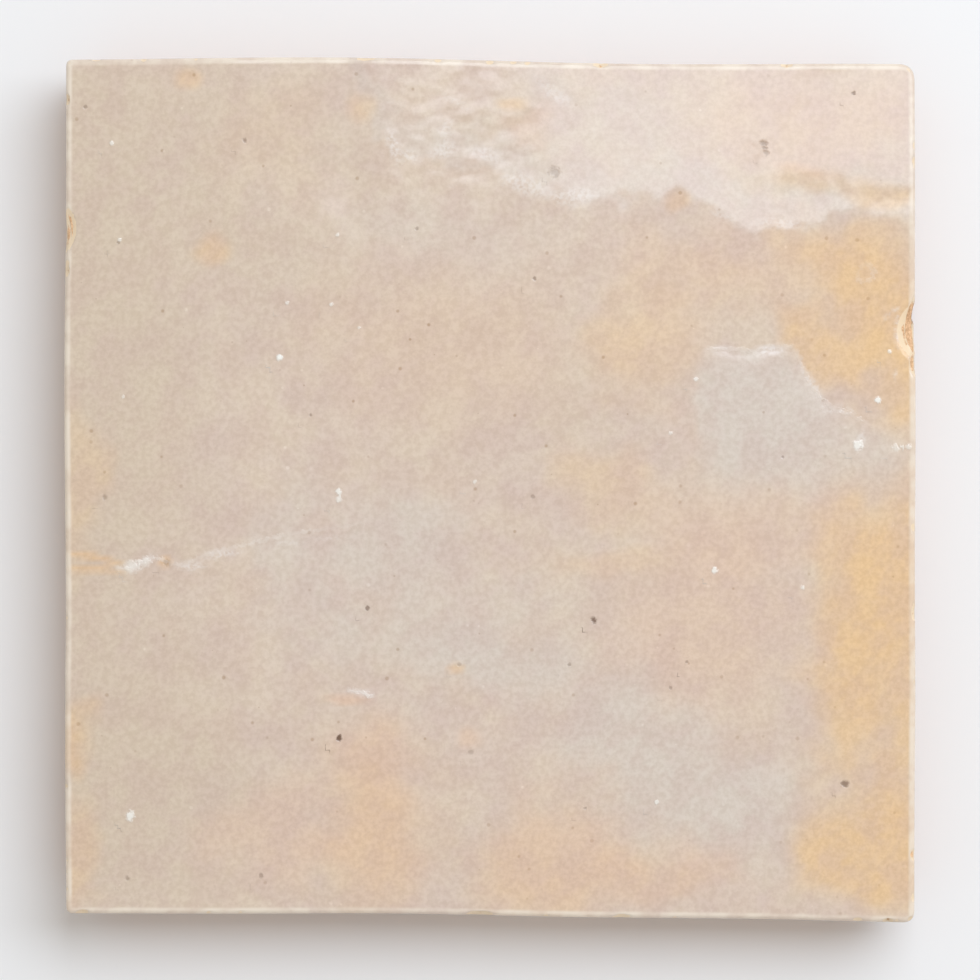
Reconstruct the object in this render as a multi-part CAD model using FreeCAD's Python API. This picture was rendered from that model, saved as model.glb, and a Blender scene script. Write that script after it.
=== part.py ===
"""A hand-made glazed clay wall tile, about 98 mm by 99 mm, lying on its back with its face up.

Lengths are in millimetres. X runs along the tile's width, Y from the near side to the far side,
and Z up through the face. The origin is the middle of the flat back.

The tile is one fired piece. Its face is pressed by hand, so it rolls in low waves and is thicker
at one side than at the other. Its sides are dressed with a hammer: a narrow lip stands nearly
upright under the face, and below it the side is cut back, so that the face is larger than the
back and closes up tight to the next tile. Each blow leaves a shallow hollow. The glaze softens
the arris round the face, and the arris is nicked where flakes have sprung off.

The body is built from closed outlines laid one above the other, from the foot to a crest above
the face. The pressed face is cut through it, and then the blows and the flakes are cut away.
"""

import math
import os

import FreeCAD
import Part
from FreeCAD import Vector

# Size of the face from corner to corner. The length is that of the left side.
tile_width = 98.2
tile_length = 98.8
right_side_excess = 0.6  # how much longer the right side is than the left one
far_side_drop = 0.5  # how much nearer the far right corner lies than the far left one
tile_thickness = 11.0

# How far each upright corner is rounded along its two sides
far_left_corner_round = 0.8
far_right_corner_round = 2.0
near_right_corner_round = 1.4
near_left_corner_round = 0.8

# How far each side swells out at its middle, the ripple that rides on the swell, and its waves
far_bow = 0.15
far_ripple = 0.35
far_waves = 1
right_bow = 0.08
right_ripple = 0.05
right_waves = 3
near_bow = -0.32
near_ripple = -0.10
near_waves = 2
left_bow = 0.15
left_ripple = 0.10
left_waves = 2

# The dressed sides: a lip under the face, and the cut back from the lip to the foot
lip_height = 3.2
lip_inset = 0.3
far_undercut = 1.7
right_undercut = 2.2
near_undercut = 2.0
left_undercut = 1.6
foot_ripple = 0.3
foot_waves = 4

# The hollows that the hammer blows leave in the cut-back sides: how many a side, the radius and
# depth of one, how high up the side it is, and how far it strays from its even place
blow_count = 8
blow_radius = 21.0
blow_depth = 0.4
blow_height = 3.0
blow_stray = 0.9

# The pressed face: its belly, the lift of two opposite corners, and its rise to the far side
# and to the left
face_belly = 0.30
face_twist = 0.16
far_rise = 0.14
left_rise = 0.10

# The two trains of waves that the hands leave in it, and their headings in degrees from X
broad_wave_height = 0.11
broad_wave_length = 46.0
broad_wave_heading = 62.0
short_wave_height = 0.05
short_wave_length = 27.0
short_wave_heading = -28.0

# The arris between the face and the sides, and how far round it the curve goes, in degrees
arris_radius = 0.5
arris_turn = 72.0

# Flakes sprung off the arris: the side, how far along it clockwise from its first corner, the
# length along the arris, the reach into the face and the drop down the side
FLAKES = (
    ("far", 34.6, 3.2, 0.45, 0.7),
    ("right", 30.4, 7.6, 1.25, 1.7),
    ("right", 34.6, 3.6, 0.75, 1.1),
    ("right", 63.5, 2.6, 0.5, 0.8),
    ("near", 33.9, 3.0, 0.5, 0.7),
    ("near", 50.4, 4.4, 0.55, 0.8),
    ("left", 78.6, 5.4, 0.6, 1.1),
)

SIDES = ("far", "right", "near", "left")  # clockwise from above, each from its first corner
side_point_count = 13  # points that carry the curve of one side
corner_point_count = 5  # points that carry the curve of one corner
face_point_count = 15  # points each way that carry the face
arris_ring_count = 4  # outlines that carry the round of the arris
headroom = 2.0  # how far the uncut body stands above the face
crest_rise = 0.5  # how far above the face the body's sides carry on in line with the arris

# The uneven places of the blows: the turn from one to the next and the first one's turn, in radians
stray_turn = 12.9898
first_stray_turn = 4.1

FACE_CURVES = (
    (far_bow, far_ripple, far_waves),
    (right_bow, right_ripple, right_waves),
    (near_bow, near_ripple, near_waves),
    (left_bow, left_ripple, left_waves),
)
FOOT_CURVES = [(bow, foot_ripple, foot_waves) for bow, _, _ in FACE_CURVES]
UNDERCUTS = (far_undercut, right_undercut, near_undercut, left_undercut)
CORNER_ROUNDS = (
    far_left_corner_round,
    far_right_corner_round,
    near_right_corner_round,
    near_left_corner_round,
)


def corners(far, right, near, left):
    """The four corners of the outline with each side drawn in, from the far left one on."""
    half_width = tile_width / 2
    far_left = tile_length / 2
    far_right = far_left - far_side_drop
    near_right = far_right - tile_length - right_side_excess
    return (
        Vector(left - half_width, far_left - far, 0),
        Vector(half_width - right, far_right - far, 0),
        Vector(half_width - right, near_right + near, 0),
        Vector(left - half_width, near - far_left, 0),
    )


def shares(count):
    """Even steps from 0 to 1."""
    return [k / (count - 1) for k in range(count)]


def swell(share, bow, ripple, waves):
    """How far a side stands out from the straight line between its ends, part way along."""
    return 4 * share * (1 - share) * (bow + ripple * math.sin(2 * math.pi * waves * share))


def outward(start, end):
    """The direction out of a side."""
    along = (end - start).normalize()
    return Vector(-along.y, along.x, 0)


def side_places(start, end, curve):
    """Places along one side, between the ends of its two corner rounds."""
    out = outward(start, end)
    return [start + (end - start) * s + out * swell(s, *curve) for s in shares(side_point_count)]


def corner_places(start, corner, end):
    """Places round one corner, from one side's end to the next side's start."""
    places = []
    for s in shares(corner_point_count):
        places.append(start * (1 - s) ** 2 + corner * 2 * s * (1 - s) + end * s**2)
    return places


def smooth_edge(places):
    """One smooth edge through these places, spaced evenly along it."""
    curve = Part.BSplineCurve()
    curve.interpolate(Points=places, Parameters=shares(len(places)))
    return curve.toShape()


def outline(insets, curves, height):
    """The closed outline with its sides drawn in and curved. height gives the height at a place."""
    points = corners(*insets)
    ends = []
    for n, back in enumerate(CORNER_ROUNDS):
        before = (points[n] - points[n - 1]).normalize()
        after = (points[(n + 1) % 4] - points[n]).normalize()
        ends.append((points[n] - before * back, points[n] + after * back))
    edges = []
    for n, curve in enumerate(curves):
        bend = corner_places(ends[n][0], points[n], ends[n][1])
        side = side_places(ends[n][1], ends[(n + 1) % 4][0], curve)
        for places in (bend, side):
            edges.append(smooth_edge([one + Vector(0, 0, height(one)) for one in places]))
    return Part.Wire(edges)


def wave(place, height, length, heading):
    """The height of one train of waves at a place on the face."""
    turn = math.radians(heading)
    along = place.x * math.cos(turn) + place.y * math.sin(turn)
    return height * math.sin(2 * math.pi * along / length)


def face_height(place):
    """The height of the pressed face above the back at a place on it."""
    across = 2 * place.x / tile_width
    up = 2 * place.y / tile_length
    return (
        tile_thickness
        + face_belly * (1 - across**2) * (1 - up**2)
        + face_twist * across * up
        + far_rise * up
        - left_rise * across
        + wave(place, broad_wave_height, broad_wave_length, broad_wave_heading)
        + wave(place, short_wave_height, short_wave_length, short_wave_heading)
    )


def pressed_face():
    """The face as one smooth sheet, a little larger than the tile."""
    reach_x = tile_width / 2 + headroom
    reach_y = tile_length / 2 + right_side_excess + headroom
    net = []
    for share_x in shares(face_point_count):
        row = []
        for share_y in shares(face_point_count):
            place = Vector((2 * share_x - 1) * reach_x, (2 * share_y - 1) * reach_y, 0)
            row.append(place + Vector(0, 0, face_height(place)))
        net.append(row)
    sheet = Part.BSplineSurface()
    sheet.interpolate(net)
    return sheet.toShape()


def foot_outline():
    """The outline of the back, drawn in by the undercut and more uneven than the face's."""
    return outline(UNDERCUTS, FOOT_CURVES, lambda place: 0)


def outline_under_face(inset, depth):
    """The outline drawn in by an inset, at an even depth under the pressed face."""
    return outline((inset,) * 4, FACE_CURVES, lambda place: face_height(place) - depth)


def arris_outlines():
    """The outlines that carry the round of the arris, from the lip up."""
    rings = []
    for share in shares(arris_ring_count):
        turn = math.radians(arris_turn) * share
        inset = arris_radius * (1 - math.cos(turn))
        depth = arris_radius * (1 - math.sin(turn))
        rings.append(outline_under_face(inset, depth))
    return rings


def crest_outlines():
    """The outlines that carry the sides on over the face, in line with the end of the arris."""
    turn = math.radians(arris_turn)
    rise = crest_rise + arris_radius
    inset = arris_radius * (1 - math.cos(turn)) + rise * math.tan(turn)
    crest = outline_under_face(inset, arris_radius * (1 - math.sin(turn)) - rise)
    top = outline((inset,) * 4, FACE_CURVES, lambda place: tile_thickness + headroom)
    return [crest, top]


def uncut_body():
    """The body from its back to a level above the face."""
    lip_foot = outline_under_face(lip_inset, lip_height)
    rings = [foot_outline(), lip_foot] + arris_outlines() + crest_outlines()
    return Part.makeLoft(rings, True, True)


def side_place(n, share, insets, curves):
    """A place on one side of an outline, part way along it."""
    points = corners(*insets)
    start, end = points[n], points[(n + 1) % 4]
    return start + (end - start) * share + outward(start, end) * swell(share, *curves[n])


def flake(side, way, length, reach, drop):
    """The ball whose cut leaves a shell-shaped hollow of this length, reach and drop."""
    n = SIDES.index(side)
    points = corners(0, 0, 0, 0)
    start, end = points[n], points[(n + 1) % 4]
    middle = side_place(n, way / (end - start).Length, (0, 0, 0, 0), FACE_CURVES)
    out_by = (length**2 / (4 * reach) - reach) / 2
    up_by = (length**2 / (4 * drop) - drop) / 2
    centre = middle + outward(start, end) * out_by + Vector(0, 0, face_height(middle) + up_by)
    return Part.makeSphere(math.hypot(length / 2, out_by, up_by), centre)


def stray(number):
    """An uneven but fixed share between -1 and 1 for each number."""
    return math.sin(stray_turn * number + first_stray_turn)


def blow(n, k):
    """The ball whose cut leaves the hollow of one hammer blow in a cut-back side."""
    lip_foot = tile_thickness - lip_height
    number = blow_count * n + k
    share = (k + 1) / (blow_count + 1) + blow_stray * stray(number) / tile_length
    height = blow_height + blow_stray * stray(number + 0.5)
    low = side_place(n, share, UNDERCUTS, FOOT_CURVES)
    high = side_place(n, share, (lip_inset,) * 4, FACE_CURVES) + Vector(0, 0, lip_foot)
    place = low + (high - low) * height / lip_foot
    points = corners(0, 0, 0, 0)
    along = (points[(n + 1) % 4] - points[n]).normalize()
    out = along.cross(low - high).normalize()
    return Part.makeSphere(blow_radius, place + out * (blow_radius - blow_depth))


def tile():
    """The fired tile, standing centred on the origin."""
    body = uncut_body()
    body = body.cut(pressed_face().extrude(Vector(0, 0, 2 * headroom)))
    blows = [blow(n, k) for n in range(len(SIDES)) for k in range(blow_count)]
    flakes = [flake(*one) for one in FLAKES]
    body = body.cut(blows + flakes)
    box = body.optimalBoundingBox(False)
    body.translate(Vector(-box.Center.x, -box.Center.y, -box.ZMin))
    return body


os.makedirs("parts", exist_ok=True)
tile().exportStep("parts/zellige_tile.step")
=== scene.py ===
"""The looks of one hand-made glazed clay wall tile, built over its measured solid, and its stage.

The tile is one closed mesh. Its outline, undercut, hammer hollows and sprung flakes are read from
the solid by rays, its glazed face is the solid's face with the facets evened out, and the small
relief of glaze and clay is added on top. Lengths in the making are in millimetres, and the mesh is
written in metres.
"""

import math

import bpy
import numpy as np
from bpy.props import FloatProperty, FloatVectorProperty, IntProperty, PointerProperty
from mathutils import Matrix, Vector, noise
from mathutils.bvhtree import BVHTree


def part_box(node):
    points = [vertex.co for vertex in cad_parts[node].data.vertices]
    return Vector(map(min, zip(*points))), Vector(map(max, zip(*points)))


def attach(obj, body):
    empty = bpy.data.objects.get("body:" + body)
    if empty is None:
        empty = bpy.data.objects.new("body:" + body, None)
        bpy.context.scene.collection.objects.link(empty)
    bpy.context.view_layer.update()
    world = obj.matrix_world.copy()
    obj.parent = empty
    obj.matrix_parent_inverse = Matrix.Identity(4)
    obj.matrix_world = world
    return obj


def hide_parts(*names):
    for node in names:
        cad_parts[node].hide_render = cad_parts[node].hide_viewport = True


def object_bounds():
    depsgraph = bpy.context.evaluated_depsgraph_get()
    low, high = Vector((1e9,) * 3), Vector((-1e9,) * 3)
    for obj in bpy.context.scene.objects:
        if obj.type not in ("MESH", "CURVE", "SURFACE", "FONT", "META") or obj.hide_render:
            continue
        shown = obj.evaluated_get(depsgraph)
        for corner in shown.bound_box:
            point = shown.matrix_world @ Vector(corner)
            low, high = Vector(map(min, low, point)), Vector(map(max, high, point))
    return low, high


bl_info = {
    "name": "Hand-made glazed tile",
    "version": (1, 0, 0),
    "blender": (4, 5, 0),
    "location": "View3D > Sidebar > Tile",
    "description": "Builds a hand-made glazed clay tile over its measured solid, and its stage",
    "category": "Add Mesh",
}

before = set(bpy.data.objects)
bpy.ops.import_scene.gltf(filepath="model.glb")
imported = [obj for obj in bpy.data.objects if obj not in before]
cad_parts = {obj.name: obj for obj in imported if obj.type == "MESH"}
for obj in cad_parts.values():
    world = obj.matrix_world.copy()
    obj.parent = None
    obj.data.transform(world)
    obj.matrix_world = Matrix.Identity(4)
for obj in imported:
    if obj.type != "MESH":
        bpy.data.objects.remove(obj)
SOLID = "zellige_tile"
SOLID_BOX = [list(corner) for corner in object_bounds()]
MM = 0.001

# The waves in the pressed face, as the solid has them: length and heading in degrees from X
WAVE_TRAINS = ((46.0, 62.0), (27.0, -28.0))
ARRIS_RADIUS = 0.5
LEAST_FLAKE = 0.06  # less than this between the mesh and the solid is no flake
UNBROKEN_LIP = (1.9, 2.7)  # two depths under the face that neither flake nor hammer reaches

# Where the rays that read the solid start: how high the first level ones to its sides are, how
# high those down to its face start, and how far out from the arris those to its flakes do
FIRST_SIDE_RAYS = 9.0
FACE_RAYS = 50.0
FLAKE_RAYS = 3.0

# Rows of the mesh round the tile's side, from the face down to the back
ARRIS_TURNS = (75, 60, 45, 30, 15, 0)
LIP_DEPTHS = (0.8, 1.15, 1.5, 1.9, 2.3, 2.7, 3.1)
CUT_BACK_ROWS = 15
CUT_BACK_END = 0.39  # height above the floor of the last of these
FOOT_EDGE = ((0.14, 0.03), (0.0, 0.22))  # height above the floor and inset of the last two rows
UPPER_ROWS = len(ARRIS_TURNS) + len(LIP_DEPTHS)
FLAKED_ROWS = len(ARRIS_TURNS) + 4  # rows that a flake may reach
STRUCK_ROW = 2  # the row, on the middle of the arris, that chips and nicks are struck off
EDGE_CELLS = 10  # cells in from the side within which the glaze may be broken

# The ways out of the far, right, near and left side, which is the order of sides everywhere
WAYS_OUT = np.array(((0, 1), (1, 0), (0, -1), (-1, 0)), float)

# The middle of the face, as it lies from the origin. All marks below are placed from it
FACE_MIDDLE = np.array((0.05, 0.41))

# A wandering value is a sum of this many waves, which comes to about this much at most
WANDER_WAVES = 14
WANDER_SPREAD = 5.0

# The line beyond which the face falls away to its far side: how far up it is, for places across
FALL_LINE = (
    (-60, 62), (-19, 56), (-13.5, 41.0), (-9.5, 37.9), (1.0, 36.2), (6.7, 33.7), (10.9, 32.6),
    (16.5, 33.0), (20.8, 34.0), (24.3, 32.6), (27.1, 30.5), (30.7, 29.1), (34.9, 29.1),
    (38.4, 30.5), (41.9, 31.9), (46.2, 30.5), (60, 31.9),
)
# The slope that parts the falling face from the rest: in the middle of the tile, how much it eases
# for each millimetre further up, and how much steeper the one is than that, and flatter the other
FALL_SLOPE = -0.0534
FALL_EASING = 0.00119
FALL_MARGIN = 0.007
# Distances beyond the line, below 0 before it: where the fall sets in and is in full, and where
# the rest begins to be held flatter and wholly is
FALL_SHORE = (-0.9, 1.3)
HELD_FLATTER = (-18.0, -8.0)
FULL_FALL = (-13.0, 17.0)  # across the tile, where the fall begins to steepen and where it is full
FALL_END = 47.0  # further up than this the line stands for no fall at all
# How far beyond the line the fall begins to be evened out across the tile, and how far beyond it
# wholly is, and over how many cells each way
EVENED_OUT = (0.5, 14.0)
EVEN_CELLS = 12
# Streaks beyond the line where the slope is flatter, placed as the pools below, and by how much
FLAT_STREAKS = (
    (38.0, 35.0, 6.5, 1.8, -4, 0.8),
    (45.5, 33.9, 6.0, 1.2, 0, 1.0),
)
FLATTER = 0.02

# Heights of the fine relief as shares of the ripple: streaks, the puckered patch, dimples all over
STREAK_HEIGHT = 0.12
PUCKER_HEIGHT = 0.5
DIMPLE_HEIGHT = 0.12
STREAKED = (22, 36)  # how far up the face the streaks begin and are in full
PUCKER_LEAN = np.array(((0.9, 0.5), (-0.4, 0.8)))  # draws the puckers out aslant

POOL_SHORE = (1.2, 0.3)  # the shares of a pool's size at which its colour begins and is in full
# Pools of colour in the glaze: across, up, half width, half height, turn, strength
AMBER_POOLS = (
    (45.5, 21.0, 9.5, 10.5, 0, 0.85),
    (49.0, 11.0, 7.5, 7.0, 0, 0.7),
    (46.5, -13.0, 9.8, 16.0, 0, 0.9),
    (43.0, -25.0, 8.0, 10.0, 0, 0.82),
    (44.5, -42.0, 10.0, 9.0, 0, 0.82),
    (38.0, 35.0, 6.5, 1.8, -4, 0.3),
    (45.5, 34.0, 6.0, 1.5, 0, 0.5),
    (41.0, 28.0, 9.0, 4.5, 0, 0.5),
    (47.0, -34.0, 5.0, 8.0, 0, 0.6),
    (40.5, 15.5, 6.0, 5.5, 0, 0.7),
    (48.0, 18.0, 1.8, 3.4, 0, 0.9),
    (21.9, 32.9, 1.9, 1.6, 0, 0.45),
    (29.0, 24.5, 16.0, 6.0, 0, 0.16),
    (18.0, 16.5, 8.0, 7.5, 0, 0.4),
    (-32.3, 27.7, 2.6, 2.2, 0, 0.5),
    (-35.0, 47.4, 1.8, 1.4, 0, 0.5),
    (2.5, 44.3, 1.8, 1.0, 0, 0.45),
    (-15.5, 43.5, 2.0, 2.6, 0, 0.35),
    (-26.0, 40.0, 9.0, 8.0, 0, 0.12),
    (14.0, 0.0, 9.0, 5.0, 0, 0.3),
    (15.0, -9.0, 8.0, 3.0, 0, 0.25),
    (-46.0, -8.3, 4.6, 0.55, -10, 0.85),
    (-48.0, 0.0, 3.5, 12.0, 0, 0.3),
    (-49.0, -28.0, 3.5, 4.0, 0, 0.7),
    (-48.0, -42.0, 4.0, 9.0, 0, 0.4),
    (-46.0, -9.5, 4.2, 0.5, -3, 0.8),
    (-37.7, -8.6, 0.9, 0.7, 0, 0.9),
    (-3.9, -20.8, 1.2, 0.8, 0, 0.6),
    (-13.5, -39.0, 8.0, 13.0, 0, 0.28),
    (7.0, -46.0, 12.0, 8.0, 0, 0.25),
    (21.0, -45.5, 7.0, 6.0, 0, 0.12),
)
PEACH_POOLS = (
    (36.5, 36.6, 4.5, 0.9, -5, 0.6),
    (-13.0, -38.0, 9.0, 12.0, 0, 0.8),
    (-26.0, -41.0, 9.0, 8.0, 0, 0.5),
    (7.0, -43.0, 10.0, 8.0, 0, 0.7),
    (21.0, -44.0, 9.0, 5.0, 0, 0.6),
    (-16.6, -24.7, 3.4, 0.8, -4, 0.9),
    (25.0, -16.0, 13.0, 14.0, 0, 0.5),
    (30.0, -4.0, 14.0, 6.0, 0, 0.4),
    (4.0, 42.0, 4.0, 4.0, 0, 0.4),
    (-5.0, 17.0, 20.0, 12.0, 0, 0.35),
    (-2.1, -29.4, 1.6, 1.8, 0, 0.6),
    (30.0, 26.0, 20.0, 8.0, 0, 0.35),
    (38.0, 43.0, 15.0, 8.0, 0, 0.4),
)
ASH_POOLS = (
    (-23.0, -9.0, 5.0, 12.0, 0, 0.55),
    (-12.0, -7.5, 12.0, 8.0, 0, 0.7),
    (-10.0, -18.0, 13.0, 7.0, 0, 0.5),
    (1.5, -19.0, 12.0, 7.5, -10, 0.75),
    (16.0, -29.0, 11.0, 7.0, -35, 0.75),
    (26.0, -37.0, 13.0, 8.0, -25, 0.85),
    (44.0, 2.5, 9.0, 4.0, 0, 0.6),
    (-5.0, 29.0, 16.0, 6.0, 0, 0.3),
    (14.0, 41.0, 10.0, 7.0, 0, 0.35),
    (7.0, 46.0, 4.0, 2.5, -30, 0.4),
)
# Duller, greener glaze
DUN_POOLS = (
    (40.5, 35.0, 11.0, 2.2, 0, 1.0),
    (1.0, 42.0, 8.0, 6.0, 0, 0.7),
    (-48.0, 10.0, 20.0, 42.0, 0, 0.9),
    (-36.0, 39.0, 26.0, 16.0, 0, 0.7),
    (-42.0, -34.0, 18.0, 20.0, 0, 0.8),
    (-10.0, 24.0, 30.0, 14.0, 0, 0.5),
    (4.0, 12.0, 24.0, 12.0, 0, 0.3),
)
# Pale smears on the glaze, placed in the same way: partly milky glaze, partly painted highlight on
# the creases, the veil's edge and the strip above the line from which the face falls away
MILK_AND_HIGHLIGHT_SMEARS = (
    (-41.2, -9.0, 1.9, 0.8, 8, 0.45),
    (-39.6, -8.3, 1.0, 0.5, 30, 0.45),
    (-34.6, -9.1, 2.1, 0.7, 5, 0.55),
    (-31.0, -7.7, 2.7, 0.5, 6, 0.6),
    (-24.0, -6.4, 4.2, 0.35, 8, 0.3),
    (-18.0, -5.8, 3.6, 0.35, 3, 0.25),
    (-15.0, -23.8, 1.8, 0.45, -12, 0.5),
    (-11.2, 39.4, 0.9, 2.5, 12, 0.6),
    (-9.4, 38.2, 1.3, 0.9, -20, 0.5),
    (-5.6, 38.8, 2.1, 1.0, 15, 0.45),
    (-5.0, 41.3, 1.0, 2.0, -30, 0.35),
    (-0.5, 37.8, 3.0, 1.2, -25, 0.35),
    (4.0, 35.3, 3.6, 1.3, -25, 0.45),
    (9.8, 33.4, 3.6, 1.1, 0, 0.5),
    (-4.2, 44.6, 2.6, 0.4, -35, 0.35),
    (7.5, 45.6, 3.2, 1.0, -35, 0.35),
    (27.0, 31.2, 2.4, 0.7, -25, 0.3),
    (33.5, 30.2, 4.0, 0.8, 0, 0.35),
    (26.4, 15.7, 1.6, 0.6, 0, 0.35),
    (32.6, 15.9, 2.2, 0.7, 8, 0.6),
    (37.1, 12.2, 2.8, 0.5, -58, 0.55),
    (40.4, 8.9, 1.8, 0.7, -12, 0.5),
    (42.6, 5.2, 0.8, 1.0, 0, 0.5),
    (45.9, 19.6, 0.6, 0.3, 20, 0.6),
    (47.0, 20.3, 0.7, 0.25, -20, 0.5),
    (46.9, 12.9, 0.3, 0.6, 10, 0.5),
    (47.1, 18.0, 0.4, 2.4, 0, 0.6),
)
PUCKERED = (-4.0, 41.0, 13.0, 12.0, 0, 1.0)  # a patch where the glaze has crept
# The veil's pale colour is partly a painted reflection
VEIL = (32.0, 9.0, 14.0, 11.5, 0, 1.0)  # the milky pool that ends at the crease beside it
VEIL_LEFT = (23.2, 24.6)  # across the tile, where the veil begins and is in full

# Creases in the glaze, each with its strength at both ends and a run of places
WRINKLE = (
    (0.6, 0.25),
    ((-43.6, -9.4), (-42.4, -9.5), (-41.2, -9.2), (-39.5, -8.3), (-38.2, -8.4),
     (-36.7, -9.0), (-35.4, -8.9), (-32.1, -7.6), (-28.2, -6.7), (-24.4, -5.8), (-17.3, -4.6),
     (-10.3, -3.4)),
)
VEIL_EDGE = (
    (0.25, 0.3),
    ((24.3, 15.7), (26.5, 16.0), (28.6, 15.8), (30.2, 15.8), (32.4, 16.2), (34.6, 16.3),
     (35.6, 15.1), (36.4, 13.2), (37.6, 11.2), (39.1, 9.4), (41.9, 8.2), (45.0, 6.4)),
)
LOOP = ((0.1, 0.3), ((42.2, 24.4), (43.5, 25.8), (44.4, 24.6), (43.2, 23.6), (42.2, 24.3)))
DASH = ((0.8, 0.9), ((-16.6, -23.5), (-15.0, -23.8), (-13.3, -24.3)))
VEIL_DIP = 0.11  # how far the glaze sinks along the veil's edge
VEIL_SHORES = (2.0, 1.5)  # how far that sinking reaches, within the veil and outside it
CREASE_REACH = (3.0, 1.5)  # how far from a crease its strength has gone, and is in full

# Small raised beads, painted pale as glints, and dark iron specks: across, up, radius, strength
BEADS = (
    (-24.4, 14.9, 0.42, 1.0),
    (-23.5, 21.2, 0.26, 0.5),
    (-18.4, 21.0, 0.26, 0.6),
    (-17.6, -0.6, 0.42, 0.75),
    (-17.5, -1.6, 0.36, 0.55),
    (-41.7, -38.1, 0.62, 0.8),
    (-41.5, -9.3, 0.9, 0.4),
    (-39.9, -8.7, 0.7, 0.35),
    (25.9, -9.7, 0.42, 0.8),
    (36.1, -11.7, 0.28, 0.6),
    (44.8, 10.0, 0.42, 0.9),
    (42.5, 4.7, 0.66, 0.7),
    (46.9, 4.4, 0.5, 0.4),
    (48.4, 4.6, 0.4, 0.5),
    (19.2, -36.5, 0.28, 0.6),
    (20.8, 6.2, 0.24, 0.4),
    (-43.8, 39.7, 0.30, 0.6),
    (-42.9, 28.5, 0.26, 0.5),
    (-1.8, 0.5, 0.24, 0.5),
    (-17.7, 29.1, 0.24, 0.5),
    (23.8, 12.4, 0.28, 0.6),
    (46.2, 15.6, 0.3, 0.6),
    (-42.5, 10.4, 0.24, 0.4),
    (-15.2, 18.3, 0.22, 0.4),
)
SPECKS = (
    (-17.5, -29.1, 0.42, 0.9),
    (12.0, -15.5, 0.42, 0.8),
    (41.0, -34.4, 0.46, 0.65),
    (-14.2, -14.1, 0.30, 0.6),
    (-28.4, 40.0, 0.28, 0.5),
    (31.6, 39.7, 0.50, 0.45),
    (31.9, 38.6, 0.42, 0.35),
    (5.1, 24.0, 0.24, 0.5),
    (4.9, -1.2, 0.28, 0.35),
    (-44.6, -1.2, 0.36, 0.35),
    (42.0, 45.5, 0.28, 0.6),
    (-8.5, 29.8, 0.24, 0.4),
    (20.8, -23.3, 0.26, 0.4),
    (-46.9, 43.9, 0.26, 0.4),
    (9.1, -20.6, 0.24, 0.4),
    (-20.8, 8.3, 0.22, 0.4),
    (22.7, -20.3, 0.22, 0.4),
    (-3.6, -20.6, 0.34, 0.3),
    (-43.0, 28.2, 0.26, 0.4),
    (-2.2, -30.7, 0.34, 0.25),
    (7.4, 36.4, 0.7, 0.3),
    (-37.4, -8.8, 0.5, 0.3),
    (-26.5, -45.0, 0.32, 0.4),
    (-42.0, -45.3, 0.32, 0.4),
    (11.0, -37.2, 0.24, 0.4),
    (33.8, 3.4, 0.22, 0.4),
)
NICKS = 46  # small flakes along the arris, besides the large ones that the solid has
NICK_SEED = 11
# Shallow chips round the large flakes: across, up, length, reach into the face, drop down the side
CHIPS = (
    (49.0, 18.0, 5.9, 1.7, 0.5),
    (-49.0, 29.6, 5.0, 0.9, 0.5),
)
NO_MARK = (9.0, 9.0, 0.0)  # painted where no bead or speck is near
MARK_REACH = 2.0  # how far round a bead or speck its place is painted

# How far glaze that has run stands out from the even run: where it wanders over its threshold
DRIP = 1.2
DRIP_SHORE = (0.5, 1.0)

# The rough surface of the bare clay: how many hammered facets there are to a millimetre in x, y
# and z, their seed, how deep facets, lumps and fine tooth are, and how much of it the back has
FACET_SIZES = (0.17, 0.17, 0.1)
FACET_SEED = 17
FACET_DEPTH, LUMP_DEPTH, TOOTH_DEPTH = 1.8, 0.3, 0.25
BACK_FACETS, BACK_TOOTH = 0.15, 0.6
BARE = (0.1, -0.25)  # the thickness of glaze at which the clay begins to be rough and wholly is
CRUMBLED_FOOT = (2.2, 0.3)  # heights above the floor where the clay begins to crumble, and does

# How a mottled value darkens and lightens a colour: the span of the value, then both factors
MIST_TINTS = ((0.25, 0.75), (0.978, 0.970, 0.995), (1.015, 1.022, 0.992))
CLOUD_TINTS = ((0.25, 0.75), (0.972, 0.956, 0.965), (1.02, 1.036, 1.028))
SPECKLE_TINTS = ((0.3, 0.7), (0.94, 0.925, 0.905), (1.045, 1.055, 1.065))
BROAD_CLAY_TINTS = ((0.32, 0.68), (0.90, 0.86, 0.82), (1.08, 1.16, 1.24))
# The middle and fine grain also raise the clay's relief, so these paint shade in its hollows and
# light on its lumps, besides varying its tone
MIDDLE_CLAY_TONE_AND_SHADE = ((0.32, 0.68), (0.87, 0.83, 0.79), (1.08, 1.10, 1.12))
FINE_CLAY_TONE_AND_SHADE = ((0.32, 0.68), (0.80, 0.75, 0.70), (1.15, 1.19, 1.23))

# The glaze's colours by their names among the tile's colours. All but the first and last are pools
GLAZE_COLOURS = ("glaze", "dun", "peach", "ashhighlight", "amber", "rim")

# Colours of the small marks in the glaze, and factors for its pricks
# The smears' pale colour is partly painted highlight
MILK_AND_HIGHLIGHT = (0.87, 0.81, 0.77)
# The creases' pale colour is painted highlight along their ridges
CREASE_HIGHLIGHT = (0.90, 0.84, 0.78)
SPECK = (0.13, 0.065, 0.035)
# The beads' pale colour is a painted glint
BEAD_GLINT = (0.95, 0.93, 0.86)
DARK_PRICK = (0.74, 0.66, 0.58)
PALE_PRICK = (1.12, 1.16, 1.2)
THIN_GLAZE = (0.72, 0.47, 0.26)
GLAZE_SECTION = (0.91, 0.72, 0.49)  # glaze cut through by a flake

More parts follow.
